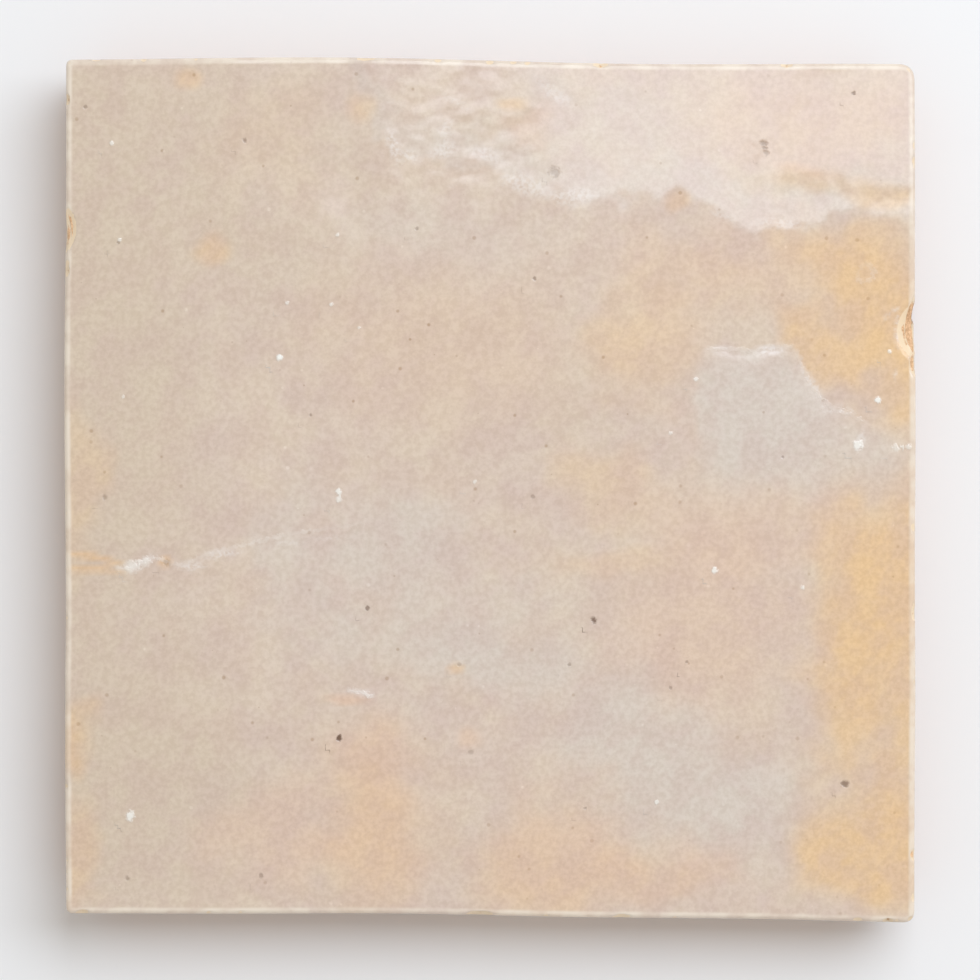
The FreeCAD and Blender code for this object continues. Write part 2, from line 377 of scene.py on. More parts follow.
# Heights of the marks in the glaze and of the grain of the clay, in millimetres
BEAD_HEIGHT, CREASE_HEIGHT, SPECK_HEIGHT = 0.08, 0.03, -0.05
GRAIN_HEIGHT, FINE_HEIGHT, DRAG_HEIGHT, PORE_HEIGHT = 0.5, 0.13, 0.2, -0.2
GLAZE_STEP = 0.38  # how far the glaze stands above the bare clay

RAGGED_MARK, RAGGED_CREASE, RAGGED_GLAZE = 1.6, 1.3, 0.24  # how far the grain moves their outlines

# Colours in the clay. That of the pores is painted shade in them
DUST = (0.74, 0.60, 0.47)
LIME = (0.85, 0.74, 0.60)
GRIT = (0.22, 0.12, 0.08)
PORE_SHADE = (0.26, 0.14, 0.08)

SURFACE_OUTPUTS = (("Colour", "Color"), ("Roughness", "Float"), ("Height", "Float"))
WHOLE_GLAZE, BROKEN_GLAZE, BARE_CLAY = range(3)  # the tile's materials

# The softbox, in metres, and its colour
SOFTBOX_MIDDLE = (0.56, 0.55)
SOFTBOX_HEIGHT = 0.95
SOFTBOX_SIZE = (1.2, 0.9)
SOFTBOX_COLOUR = (0.905, 0.98, 1.08)

# The light all round: its colours overhead and below, and rows of low lights, each from the sine of
# its foot to that of its head, with their upper edge and their colour
LIGHT_OVERHEAD = (1.36, 1.3, 1.22)
LIGHT_BELOW = (0.42, 0.4, 0.38)
LOW_LIGHT_ROWS = ((0.1, 0.27), (0.4, 0.54))
LOW_LIGHT_EDGE = 0.01
LOW_LIGHT = (0.95, 0.95, 0.95)

FLOOR_REACH = 3.0  # from the middle of the floor to its sides, in metres
FLOOR_COLOUR = (0.9, 0.9, 0.9, 1)


class TileForm(bpy.types.PropertyGroup):
    """How finely the tile is meshed, and its small relief."""

    face_cells: IntProperty(
        name="Face cells", description="Cells of the mesh along one side", default=228, min=40
    )
    ripple: FloatProperty(
        name="Ripple", description="Height of the ripples in the glaze",
        default=0.012 * MM, unit="LENGTH", precision=6,
    )
    glaze_depth: FloatProperty(
        name="Glaze depth", description="Thickness of the glaze", default=0.32 * MM,
        unit="LENGTH", precision=6,
    )
    glaze_run: FloatProperty(
        name="Glaze run", description="How far the glaze has run down the sides",
        default=1.1 * MM, unit="LENGTH", precision=6,
    )
    clay_tooth: FloatProperty(
        name="Clay tooth", description="Depth of the rough surface of the bare clay",
        default=0.5 * MM, unit="LENGTH", precision=6,
    )


class TileColours(bpy.types.PropertyGroup):
    """The colours of glaze and clay, as linear colour."""

    glaze: FloatVectorProperty(
        name="Glaze", description="Main colour of the glaze", subtype="COLOR",
        default=(0.717, 0.577, 0.476),
    )
    amber: FloatVectorProperty(
        name="Amber", description="Glaze where iron has pooled", subtype="COLOR",
        default=(0.81, 0.545, 0.305),
    )
    dun: FloatVectorProperty(
        name="Dun", description="Duller, greener glaze", subtype="COLOR",
        default=(0.68, 0.551, 0.43),
    )
    peach: FloatVectorProperty(
        name="Peach", description="Thin glaze that lets the clay show", subtype="COLOR",
        default=(0.765, 0.55, 0.41),
    )
    # Laid as ash pools, and also as the painted highlight along the fall line and the veil's
    # painted reflection
    ashhighlight: FloatVectorProperty(
        name="Ashhighlight", description="Thick milky glaze", subtype="COLOR", default=(0.695, 0.598, 0.522)
    )
    # Laid along the arris: partly glaze drawn back, partly the arris's painted highlight
    rim: FloatVectorProperty(
        name="Rim", description="Thin glaze drawn back from the arris", subtype="COLOR",
        default=(0.88, 0.775, 0.65),
    )
    clay: FloatVectorProperty(
        name="Clay", description="Fired clay", subtype="COLOR", default=(0.63, 0.33, 0.17)
    )
    fresh: FloatVectorProperty(
        name="Fresh", description="Clay laid bare by a flake", subtype="COLOR",
        default=(0.89, 0.56, 0.32),
    )


class TileStage(bpy.types.PropertyGroup):
    """The camera and the light."""

    lens: FloatProperty(name="Lens", description="Focal length, in mm", default=250.0)
    share: FloatProperty(name="Share", description="Share of the view the tile fills", default=0.87)
    softbox: FloatProperty(name="Softbox", description="Brightness of the softbox", default=3.4)
    surround: FloatProperty(name="Surround", description="Brightness all round", default=0.45)


def spaced(count, gather=0.25):
    """Steps from -1 to 1 that lie closer together towards both ends."""
    even = np.linspace(-1, 1, count + 1)
    return even + gather * np.sin(np.pi * even) / np.pi


def smooth_step(low, high, value):
    """0 below low, 1 above high, and an even rise between."""
    share = np.clip((value - low) / (high - low), 0, 1)
    return share * share * (3 - 2 * share)


class Solid:
    """The measured solid in millimetres, read by rays."""

    def __init__(self, node):
        mesh = node.data
        vertices = [v.co / MM for v in mesh.vertices]
        self.tree = BVHTree.FromPolygons(vertices, [tuple(p.vertices) for p in mesh.polygons])
        self.face = self.fit_face()

    def hit(self, start, direction):
        """Where a ray first meets the solid, or None."""
        return self.tree.ray_cast(Vector(start), Vector(direction).normalized())[0]

    def fit_face(self, reach=46.5, samples=48):
        """The pressed face as one smooth sheet, so that no facet shows in its gloss."""
        steps = np.linspace(-reach, reach, samples)
        places = np.array([(x, y) for x in steps for y in steps])
        heights = [self.hit((x, y, FACE_RAYS), (0, 0, -1)).z for x, y in places]
        return np.linalg.lstsq(self.terms(places), np.array(heights), rcond=None)[0]

    @staticmethod
    def terms(places):
        """What the sheet is made of at each place: a belly and slants, and the trains of waves."""
        x, y = places[:, 0], places[:, 1]
        parts = [(x / 50) ** i * (y / 50) ** j for i in range(3) for j in range(3)]
        for length, heading in WAVE_TRAINS:
            turn = math.radians(heading)
            phase = 2 * math.pi * (x * math.cos(turn) + y * math.sin(turn)) / length
            parts += [np.sin(phase), np.cos(phase)]
        return np.stack(parts, 1)

    def height(self, places):
        """The height of the pressed face at each place."""
        return self.terms(places) @ self.face

    def ring(self, directions, heights):
        """Where level rays from the middle meet the side, one for each direction and height."""
        hits = [self.hit((0, 0, z), (x, y, 0)) for (x, y), z in zip(directions, heights)]
        return np.array([(p.x, p.y) for p in hits])


def wander(places, size, seed):
    """An uneven value of about -1 to 1 at each place, with humps of that size in millimetres."""
    random = np.random.RandomState(seed)
    total = np.zeros(len(places))
    for _ in range(WANDER_WAVES):
        turn = random.uniform(0, 2 * math.pi)
        length = size * random.uniform(0.7, 1.7)
        along = places[:, 0] * math.cos(turn) + places[:, 1] * math.sin(turn)
        total += np.sin(2 * math.pi * along / length + random.uniform(0, 2 * math.pi))
    return total / WANDER_SPREAD


def clouds(places, size, seed):
    """A mottled value from 0 to 1 at each place, with its largest lumps of that size."""
    parts = [0.7**k * wander(places, size * 0.5**k, seed + k) for k in range(4)]
    return np.clip(0.5 + 0.18 * sum(parts), 0, 1)


def pool(places, middle, stray=2.2, seed=3):
    """How strongly one pool colours each place. Its outline wanders."""
    across, up, half_width, half_height, turn, strength = middle
    x = places[:, 0] + stray * (wander(places, 12, seed) + 0.35 * wander(places, 4, seed + 1))
    y = places[:, 1] + stray * (wander(places, 12, seed + 2) + 0.35 * wander(places, 4, seed + 3))
    c, s = math.cos(math.radians(turn)), math.sin(math.radians(turn))
    dx, dy = x - across, y - up
    reach = np.hypot((dx * c + dy * s) / half_width, (dy * c - dx * s) / half_height)
    return strength * smooth_step(*POOL_SHORE, reach)


def pools(places, table, stray=2.2, seed=3):
    """How strongly the listed pools together colour each place."""
    clear = np.ones(len(places))
    for number, middle in enumerate(table):
        small = min(1.0, min(middle[2:4]) / 5)
        clear *= 1 - pool(places, middle, stray * small, seed + 5 * number)
    return 1 - clear


def marks(places, table):
    """For the listed spots, the way from the nearest in its own radii, and its strength."""
    painted = np.tile(NO_MARK, (len(places), 1))
    nearest = np.full(len(places), MARK_REACH)
    for across, up, radius, strength in table:
        dx, dy = places[:, 0] - across, places[:, 1] - up
        away = np.hypot(dx, dy)
        near = away < nearest
        nearest[near] = away[near]
        painted[near] = np.stack([dx, dy, np.full(len(dx), radius * strength)], 1)[near] / radius
    return painted


def smooth_run(points, steps=8):
    """The points of a run with smooth curves between them."""
    p = np.array(points, float)
    p = np.vstack([2 * p[0] - p[1], p, 2 * p[-1] - p[-2]])
    run = []
    for a, b, c, d in zip(p, p[1:], p[2:], p[3:]):
        for t in np.linspace(0, 1, steps, endpoint=False):
            bend = (2 * a - 5 * b + 4 * c - d) * t**2 + (3 * b - 3 * c + d - a) * t**3
            run.append(b + ((c - a) * t + bend) / 2)
    run.append(p[-2])
    return np.array(run)


def beside(places, points):
    """How far each place lies to the left of a run of points, and how far along the run it is."""
    run = smooth_run(points)
    best = np.full(len(places), 1e9)
    side = np.ones(len(places))
    share = np.zeros(len(places))
    for k, (a, b) in enumerate(zip(run, run[1:])):
        along, to = b - a, places - a
        t = np.clip(to @ along / (along @ along), 0, 1)
        gap = np.linalg.norm(to - t[:, None] * along, axis=1)
        nearer = gap < best
        best[nearer] = gap[nearer]
        side[nearer] = np.sign(along[0] * to[:, 1] - along[1] * to[:, 0])[nearer]
        share[nearer] = (k + t[nearer]) / (len(run) - 1)
    return best * side, share


def creases(places):
    """The distance to the nearest crease, and its strength there.

    A crease fades towards its ends, and is fainter in places along it.
    """
    nearest = np.full(len(places), 50.0)
    strength = np.zeros(len(places))
    for (first, last), points in (WRINKLE, VEIL_EDGE, LOOP, DASH):
        away, share = beside(places, points)
        nearer = np.abs(away) < np.abs(nearest)
        nearest[nearer] = away[nearer]
        shown = smooth_step(0, 0.04, share) * smooth_step(1, 0.9, share)
        shown *= 0.3 + 0.7 * smooth_step(0.25, 0.6, clouds(places, 2.6, 81))
        here = (first + (last - first) * share) * shown * smooth_step(*CREASE_REACH, np.abs(away))
        strength[nearer] = here[nearer]
    return nearest, strength


def veil(places):
    """The milky pool that ends sharply along its edge. Its pale colour is partly a painted
    reflection.
    """
    away = beside(places, VEIL_EDGE[1])[0]
    within = smooth_step(0.35, -0.25, away)
    left_shore = smooth_step(*VEIL_LEFT, places[:, 0] + 0.5 * wander(places, 3, 41))
    return pool(places, VEIL, 0.8) * within * left_shore


def veil_dip(places):
    """How far the glaze sinks beside the veil's edge."""
    away, share = beside(places, VEIL_EDGE[1])
    within, outside = VEIL_SHORES
    sunk = np.where(away < 0, np.exp(away / within), np.exp(-away / outside))
    return -VEIL_DIP * sunk * smooth_step(0, 0.12, share) * smooth_step(1, 0.75, share)


def fall_line(places):
    """How far each place lies beyond the line from which the face falls away."""
    knots = np.array(FALL_LINE)
    uneven = 0.8 * wander(places, 4, 51) + 0.6 * wander(places, 1.8, 52)
    return places[:, 1] - np.interp(places[:, 0], knots[:, 0], knots[:, 1]) + uneven


def evened_out(values, cells):
    """The values of a grid, each evened out with those on both sides of it along its first axis."""
    weights = np.hanning(2 * cells + 1)
    padded = np.pad(values, ((cells, cells), (0, 0)), mode="edge")
    shifted = [w * padded[k : k + len(values)] for k, w in enumerate(weights)]
    return sum(shifted) / weights.sum()


def fall_away(grid, heights):
    """How much the far part of the face falls below the pressed sheet, on its grid of places."""
    x, y = grid[:, :, 0] - FACE_MIDDLE[0], grid[:, :, 1] - FACE_MIDDLE[1]
    step = np.diff(y, axis=1)
    slope = np.diff(heights, axis=1) / step
    x, y = (x[:, 1:] + x[:, :-1]) / 2, (y[:, 1:] + y[:, :-1]) / 2
    places = np.stack([x.ravel(), y.ravel()], 1)
    beyond = fall_line(places).reshape(x.shape)
    past = smooth_step(*FALL_SHORE, beyond)
    before = smooth_step(*HELD_FLATTER, np.maximum(beyond, y - FALL_END)) * (1 - past)
    fullness = smooth_step(*FULL_FALL, x + 3 * wander(places, 8, 53).reshape(x.shape))
    between = FALL_SLOPE + FALL_EASING * y
    short = between - FALL_MARGIN * (2 * fullness - 1) - slope
    change = past * (np.minimum(0, short) + (1 - fullness) * np.maximum(0, short))
    change += before * np.maximum(0, between + FALL_MARGIN - slope)
    flat = pools(places, FLAT_STREAKS, 1.0, 31) * (0.7 + 0.5 * wander(places, 2, 33))
    change += FLATTER * past * flat.reshape(x.shape)
    total = np.cumsum(change * step, axis=1)
    total += smooth_step(*EVENED_OUT, beyond) * (evened_out(total, EVEN_CELLS) - total)
    return np.concatenate([np.zeros((len(total), 1)), total], axis=1)


def shore_highlight(places):
    """A pale strip painted along the line from which the face falls away, as the highlight at the
    edge of the softbox's reflection.
    """
    beyond = fall_line(places)
    return 0.55 * smooth_step(-0.6, 1.2, beyond) * smooth_step(6.5, 2.5, beyond)


def ripples(places):
    """The broad ripples of the glaze, of about -1 to 1."""
    return wander(places, 11, 5) + 0.5 * wander(places, 6, 7)


def puckers(places):
    """The fine streaks and the puckered patch in the far part of the glaze, and its dimples."""
    at = places - FACE_MIDDLE
    crept = pool(at, PUCKERED)
    streaks = wander(places * (0.3, 1), 3.0, 61) * smooth_step(*STREAKED, at[:, 1]) * (1 - crept)
    leaning = places @ PUCKER_LEAN
    patch = wander(leaning, 2.4, 71) + 0.7 * wander(leaning, 1.5, 72)
    dimples = wander(places, 2.4, 73)
    return STREAK_HEIGHT * streaks + PUCKER_HEIGHT * patch * crept + DIMPLE_HEIGHT * dimples


def coons(far, right, near, left, shares):
    """The places inside four sides, each an array of places that runs from left or from near."""
    u = ((shares + 1) / 2)[:, None, None]
    v = ((shares + 1) / 2)[None, :, None]
    across = (1 - u) * left[None, :, :] + u * right[None, :, :]
    along = (1 - v) * near[:, None, :] + v * far[:, None, :]
    corners = (
        (1 - u) * (1 - v) * near[0]
        + u * (1 - v) * near[-1]
        + (1 - u) * v * far[0]
        + u * v * far[-1]
    )
    return across + along - corners


def sides_of(ring):
    """A closed ring, clockwise from its far left corner, as its four sides for coons()."""
    n = len(ring) // 4
    closed = np.vstack([ring, ring[:1]])
    far, right, near, left = (closed[k * n : (k + 1) * n + 1] for k in range(4))
    return far, right[::-1], near[::-1], left


def ring_numbers(n):
    """The place in the ring of each border point of a grid of n cells, and -1 inside."""
    numbers = -np.ones((n + 1, n + 1), int)
    steps = np.arange(n + 1)
    numbers[steps, n] = steps
    numbers[n, n - steps] = n + steps
    numbers[n - steps, 0] = 2 * n + steps
    numbers[0, steps] = (3 * n + steps) % (4 * n)
    return numbers


class TileMesh:
    """The tile's rows of points, in millimetres."""

    def __init__(self, form):
        self.solid = Solid(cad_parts[SOLID])
        self.n = form.face_cells
        self.shares = spaced(self.n)
        self.directions = self.ring_directions()
        self.out = np.repeat(WAYS_OUT, self.n, axis=0)  # out of the side that a ring's point is on
        high, lean = self.read_lip()
        edge = high + lean * (UNBROKEN_LIP[0] - ARRIS_RADIUS)
        self.lay_face(edge - self.normal * ARRIS_RADIUS, form.ripple / MM)
        self.rows = self.lay_rows(edge, high, lean)
        back = coons(*sides_of(self.rows[-1][::2, :2]), self.shares[::2]).reshape(-1, 2)
        self.back_points = np.column_stack([back, np.zeros(len(back))])

    def ring_directions(self):
        """From the middle to each point of a ring, clockwise from the far left corner."""
        s = self.shares[:-1]
        one = np.ones(self.n)
        pairs = ((s, one), (one, -s), (-s, -one), (-one, s))
        return np.vstack([np.stack(pair, 1) for pair in pairs])

    def read_lip(self):
        """A ring on the unbroken lip, and how far out the lip leans for each millimetre up."""
        first = self.solid.ring(self.directions, np.full(4 * self.n, FIRST_SIDE_RAYS))
        face = self.solid.height(first)
        high, low = (self.solid.ring(self.directions, face - depth) for depth in UNBROKEN_LIP)
        along = np.roll(high, -1, axis=0) - np.roll(high, 1, axis=0)
        along /= np.linalg.norm(along, axis=1)[:, None]
        self.normal = np.stack([-along[:, 1], along[:, 0]], 1)
        return high, (high - low) / (UNBROKEN_LIP[1] - UNBROKEN_LIP[0])

    def lay_face(self, border, ripple):
        """Lays the face's points out inside its border, with the small relief of the glaze."""
        grid = coons(*sides_of(border), self.shares)
        face = grid.reshape(-1, 2)
        height = self.solid.height(face) + ripple * ripples(face)
        height += fall_away(grid, height.reshape(grid.shape[:2])).ravel()
        height += ripple * puckers(face) + veil_dip(face - FACE_MIDDLE)
        self.face_points = np.column_stack([face, height])
        self.face_lift = height - self.solid.height(face)
        numbers = ring_numbers(self.n).ravel()
        border_points = np.argsort(numbers)[np.count_nonzero(numbers < 0) :]
        self.brink = height[border_points]
        self.brink_lift = self.face_lift[border_points]

    def lay_rows(self, edge, high, lean):
        """The rows of points down the side, from the arris to the foot."""
        rows = []
        for turn in ARRIS_TURNS:
            inset = ARRIS_RADIUS * (1 - math.cos(math.radians(turn)))
            depth = ARRIS_RADIUS * (1 - math.sin(math.radians(turn)))
            rows.append(self.row(edge - self.normal * inset, depth))
        for depth in LIP_DEPTHS:
            rows.append(self.row(high + lean * (UNBROKEN_LIP[0] - depth), depth))
        top = rows[-1][:, 2]
        for share in np.linspace(0, 1, CUT_BACK_ROWS + 1)[1:]:
            z = top + (CUT_BACK_END - top) * share
            rows.append(np.column_stack([self.solid.ring(self.directions, z), z]))
        foot = rows[-1][:, :2]
        for z, inset in FOOT_EDGE:
            rows.append(np.column_stack([foot - self.normal * inset, np.full(len(foot), z)]))
        return rows

    def row(self, places, depth):
        """One row of points at a depth under the brink of the face."""
        return np.column_stack([places, self.brink - depth])

    def lift(self, count):
        """How far each of the mesh's points stands above the solid's own surface."""
        lift = np.concatenate([self.face_lift, np.tile(self.brink_lift, UPPER_ROWS)])
        return np.pad(lift, (0, count - len(lift)))


def build_faces(n, row_count):
    """The faces between numbered points: the face's grid, the rows round the side, then the back.

    The back's cells are twice as large, so those at its border also take in the point between.
    """
    start = (n + 1) ** 2
    numbers = ring_numbers(n)
    face_index = np.arange(start).reshape(n + 1, n + 1)
    ring_to_face = np.zeros(4 * n, int)
    ring_to_face[numbers[numbers >= 0]] = face_index[numbers >= 0]
    a, b = face_index[:-1, :-1].ravel(), face_index[1:, :-1].ravel()
    c, d = face_index[1:, 1:].ravel(), face_index[:-1, 1:].ravel()
    faces = np.stack([a, b, c, d], 1).tolist()
    rings = [ring_to_face]
    for row in range(row_count):
        rings.append(start + 4 * n * row + np.arange(4 * n))
    for upper, lower in zip(rings, rings[1:]):
        next_upper, next_lower = np.roll(upper, -1), np.roll(lower, -1)
        faces += np.stack([upper, next_upper, next_lower, lower], 1).tolist()

    half = n // 2
    last = rings[-1].tolist()
    coarse = ring_numbers(half)
    inside = coarse < 0
    back_index = np.zeros((half + 1, half + 1), int)
    back_index[inside] = start + 4 * n * row_count + np.arange(inside.sum())
    back_index[~inside] = rings[-1][2 * coarse[~inside]]
    between = {}
    for one, middle, other in zip(last[::2], last[1::2], last[2::2] + last[:1]):
        between[frozenset((one, other))] = [middle]
    for i in range(half):
        for j in range(half):
            corners = back_index[[i, i, i + 1, i + 1], [j, j + 1, j + 1, j]].tolist()
            loop = []
            for one, other in zip(corners, corners[1:] + corners[:1]):
                loop += [one] + between.get(frozenset((one, other)), [])
            faces.append(loop)
    return faces, inside


def break_to_solid(points, lift, out, solid, near_edge):
    """Takes the solid's flakes off the points near the arris. Gives the depth taken at each.

    lift is how far each point stands above the solid's own surface.
    """
    depth = np.zeros(len(points))
    for k in np.flatnonzero(near_edge):
        way = Vector((*out[k], 1)).normalized()
        place = Vector(points[k]) - Vector((0, 0, lift[k]))
        hit = solid.hit(place + way * FLAKE_RAYS, -way)
        if hit is None:
            continue
        gone = (place - hit).dot(way)
        if gone > LEAST_FLAKE:
            points[k] -= np.array(way * gone)
            depth[k] = gone
    return depth


def strike(points, depth, tile, k, length, reach, drop):
    """Strikes one shell-shaped chip off the arris at the ring's point k, and adds its depth."""
    out_by = (length**2 / (4 * reach) - reach) / 2
    up_by = (length**2 / (4 * drop) - drop) / 2
    centre = tile.rows[STRUCK_ROW][k] + np.array([*(tile.normal[k] * out_by), up_by])
    radius = math.sqrt(length**2 / 4 + out_by**2 + up_by**2)
    away = points - centre
    distance = np.linalg.norm(away, axis=1)
    struck = distance < radius
    depth[struck] = np.maximum(depth[struck], radius - distance[struck])
    points[struck] = centre + away[struck] / distance[struck][:, None] * radius


def strike_chips(points, depth, tile):
    """Strikes the placed chips and the small scattered nicks off the arris."""
    ring = tile.rows[STRUCK_ROW][:, :2] - FACE_MIDDLE
    for across, up, *size in CHIPS:
        nearest = np.argmin(np.linalg.norm(ring - (across, up), axis=1))
        strike(points, depth, tile, nearest, *size)
    random = np.random.RandomState(NICK_SEED)
    for _ in range(NICKS):
        k = random.randint(len(ring))
        length = random.uniform(0.5, 1.2) * random.uniform(0.5, 1.5)
        reach, drop = length * random.uniform(0.12, 0.3), length * random.uniform(0.15, 0.4)
        strike(points, depth, tile, k, length, reach, drop)


def dressed_clay(point, hammered):
    """How deep the surface of the bare clay lies at a place, from 0 to 1.5."""
    place = Vector([along * size for along, size in zip(point, FACET_SIZES)])
    cell = noise.voronoi(place)[1][0]
    facet = noise.noise_vector(cell * 3).dot(place - cell)
    lumps = noise.fractal(point * 0.35, 0.9, 2.1, 4)
    tooth = noise.fractal(point * 1.7, 0.8, 2.2, 3)
    depth = 0.5 + FACET_DEPTH * hammered * facet + LUMP_DEPTH * lumps + TOOTH_DEPTH * tooth
    return max(0.0, min(1.5, depth))


def roughen(points, smooth, glaze, tile, form):
    """Cuts the rough surface of the bare clay into the sides and the back."""
    ring, face_count, row_count = 4 * tile.n, len(tile.face_points), len(tile.rows) - 1
    side_start = face_count + ring * (len(ARRIS_TURNS) + 1)
    back_start = face_count + ring * row_count
    inward = np.zeros((len(points), 3))
    inward[face_count:back_start, :2] = -np.tile(tile.normal, (row_count, 1))
    inward[back_start:] = (0, 0, 1)
    bare = smooth_step(*BARE, glaze)
    crumbled = smooth_step(*CRUMBLED_FOOT, smooth[:, 2]) * clouds(smooth[:, :2], 5, 91)
    for k in range(side_start, len(points)):
        on_side = k < back_start
        deep = dressed_clay(Vector(smooth[k]), 1.0 if on_side else BACK_FACETS)
        amount = form.clay_tooth / MM * bare[k] * deep
        points[k] += inward[k] * amount * (1 + crumbled[k] if on_side else BACK_TOOTH)


def glaze_left(places, depth, tile, form):
    """How thick the glaze is at each point once this depth has sprung off. Below 0 is bare clay."""
    ring = 4 * tile.n
    lip_start = len(tile.face_points) + ring * len(ARRIS_TURNS)
    lip = slice(lip_start, lip_start + ring * len(LIP_DEPTHS))
    on_lip = places[lip]
    run = form.glaze_run / MM + 0.5 * wander(on_lip, 7, 31) + 0.3 * wander(on_lip, 2.4, 32)
    run += DRIP * smooth_step(*DRIP_SHORE, wander(on_lip, 12, 33))
    glaze = np.full(len(places), form.glaze_depth / MM)
    glaze[lip] *= np.clip(run + ARRIS_RADIUS - np.repeat(LIP_DEPTHS, ring), -2, 1)
    glaze[lip.stop :] = -1
    return glaze - depth


def paint(places):
    """The colours and marks of the glaze, painted highlights and a painted reflection among them,
    which depend on the place alone.
    """
    crease, crease_strength = creases(places)
    veil_and_reflection = veil(places)
    # Ash pools, with the painted highlight along the line where the face falls away laid over them
    ashhighlight = np.maximum(pools(places, ASH_POOLS, seed=400), shore_highlight(places))
    return {
        "amber": pools(places, AMBER_POOLS) * (1 - veil_and_reflection),
        "peach": pools(places, PEACH_POOLS, seed=200),
        # The veil is partly a painted reflection
        "ashhighlight": np.maximum(ashhighlight, veil_and_reflection),
        "dun": pools(places, DUN_POOLS, seed=800),
        "milk_and_highlight": pools(places, MILK_AND_HIGHLIGHT_SMEARS, seed=600),
        "cloud": clouds(places, 7, 95),
        "mist": clouds(places, 15, 98),
        "crease": crease,
        "crease_strength": crease_strength,
        "bead_glints": marks(places, BEADS),
        "specks": marks(places, SPECKS),
    }


def assemble(form):
    """The tile's points in metres, its faces, their materials and the values painted on it."""
    tile = TileMesh(form)
    n, ring = tile.n, 4 * tile.n
    faces, inside = build_faces(n, len(tile.rows))
    face_count = len(tile.face_points)
    points = np.vstack([tile.face_points, *tile.rows, tile.back_points[inside.ravel()]])
    smooth = points.copy()

    i, j = np.divmod(np.arange(face_count), n + 1)
    cells_in = np.stack([n - j, n - i, j, i])
    out = np.zeros((len(points), 2))
    out[:face_count] = WAYS_OUT[np.argmin(cells_in, axis=0)]
    out[face_count : face_count + ring * len(tile.rows)] = np.tile(tile.out, (len(tile.rows), 1))
    near_edge = np.zeros(len(points), bool)
    near_edge[:face_count] = np.min(cells_in, axis=0) < EDGE_CELLS
    near_edge[face_count : face_count + ring * FLAKED_ROWS] = True
    depth = break_to_solid(points, tile.lift(len(points)), out, tile.solid, near_edge)
    strike_chips(points, depth, tile)

    places = smooth[:, :2] - FACE_MIDDLE
    glaze = glaze_left(places, depth, tile, form)
    noise.seed_set(FACET_SEED)
    roughen(points, smooth, glaze, tile, form)
    from_edge = np.zeros(len(points))
    from_edge[:face_count] = np.minimum(6.0, edge_distance(tile, i, j))
    painted = {"glaze": glaze, "broken": depth, "from_edge": from_edge, **paint(places)}

    material = np.full(len(faces), BARE_CLAY)
    material[: n * n + ring * (UPPER_ROWS - 1)] = BROKEN_GLAZE
    cell_in = np.minimum(np.arange(n), np.arange(n)[::-1])
    whole = np.minimum(cell_in[:, None], cell_in[None, :]) >= EDGE_CELLS
    material[: n * n][whole.ravel()] = WHOLE_GLAZE
    low, high = np.array(SOLID_BOX) / MM
    return np.clip(points, low, high) * MM, faces, material, painted


def edge_distance(tile, i, j):
    """How far each point of the face's grid lies in from the nearest side, in millimetres."""
    n = tile.n
    grid = tile.face_points[:, :2].reshape(n + 1, n + 1, 2)
    far, near = grid[:, -1, 1], grid[:, 0, 1]
    right, left = grid[-1, :, 0], grid[0, :, 0]
    x, y = grid[i, j, 0], grid[i, j, 1]
    return np.min(np.stack([far[i] - y, y - near[i], right[j] - x, x - left[j]]), axis=0)


def add_node(tree, kind, inputs=None, **settings):
    """Adds a shader node. inputs maps a socket's name or number to a value or to another socket."""
    made = tree.nodes.new("ShaderNode" + kind)
    for name, value in settings.items():
        setattr(made, name, value)
    for name, value in (inputs or {}).items():
        socket = made.inputs[name]
        if isinstance(value, bpy.types.NodeSocket):
            tree.links.new(value, socket)
        else:
            socket.default_value = value
    return made


def maths(tree, operation, a, b=0.0, clamp=False):
    """The result of one sum on two values."""
    return add_node(tree, "Math", {0: a, 1: b}, operation=operation, use_clamp=clamp).outputs[0]


def blend(tree, share, a, b, kind="MIX"):
    """A mix of two colours. Each may be a colour or a socket."""
    colours = []
    for colour in (a, b):
        colours.append(colour if isinstance(colour, bpy.types.NodeSocket) else (*colour, 1))
    inputs = {0: share, 6: colours[0], 7: colours[1]}
    return add_node(tree, "Mix", inputs, data_type="RGBA", blend_type=kind).outputs[2]


def mix_value(tree, share, a, b):
    """A mix of two values."""
    return add_node(tree, "Mix", {0: share, 2: a, 3: b}, data_type="FLOAT").outputs[0]


def rescale(tree, value, low, high, to_low=0.0, to_high=1.0):
    """A value moved from one range to another, held at the ends, with an even rise."""
    inputs = {"Value": value, "From Min": low, "From Max": high}
    inputs.update({"To Min": to_low, "To Max": to_high})
    return add_node(tree, "MapRange", inputs, interpolation_type="SMOOTHSTEP").outputs["Result"]


def grain(tree, place, size, detail=3.0, roughness=0.5):
    """A noise from 0 to 1 with lumps of that size in millimetres."""
    inputs = {"Vector": place, "Scale": 1 / size, "Detail": detail, "Roughness": roughness}
    return add_node(tree, "TexNoise", inputs).outputs["Fac"]


def place_in_mm(tree):
    """The place on the tile in millimetres."""
    here = add_node(tree, "TexCoord").outputs["Object"]
    return add_node(tree, "VectorMath", {0: here, "Scale": 1 / MM}, operation="SCALE").outputs[0]


def painted_value(tree, name, output="Fac"):
    """A value painted on the mesh, or three as a vector."""
    made = add_node(tree, "Attribute", attribute_name=name, attribute_type="GEOMETRY")
    return made.outputs[output]


def new_group(name, inputs, outputs):
    """A node group with named values in and out, and its input and output nodes."""
    tree = bpy.data.node_groups.new(name, "ShaderNodeTree")
    for label, kind, default in inputs:
        socket = tree.interface.new_socket(label, in_out="INPUT", socket_type="NodeSocket" + kind)
        socket.default_value = default
    for label, kind in outputs:
        tree.interface.new_socket(label, in_out="OUTPUT", socket_type="NodeSocket" + kind)
    return tree, tree.nodes.new("NodeGroupInput"), tree.nodes.new("NodeGroupOutput")


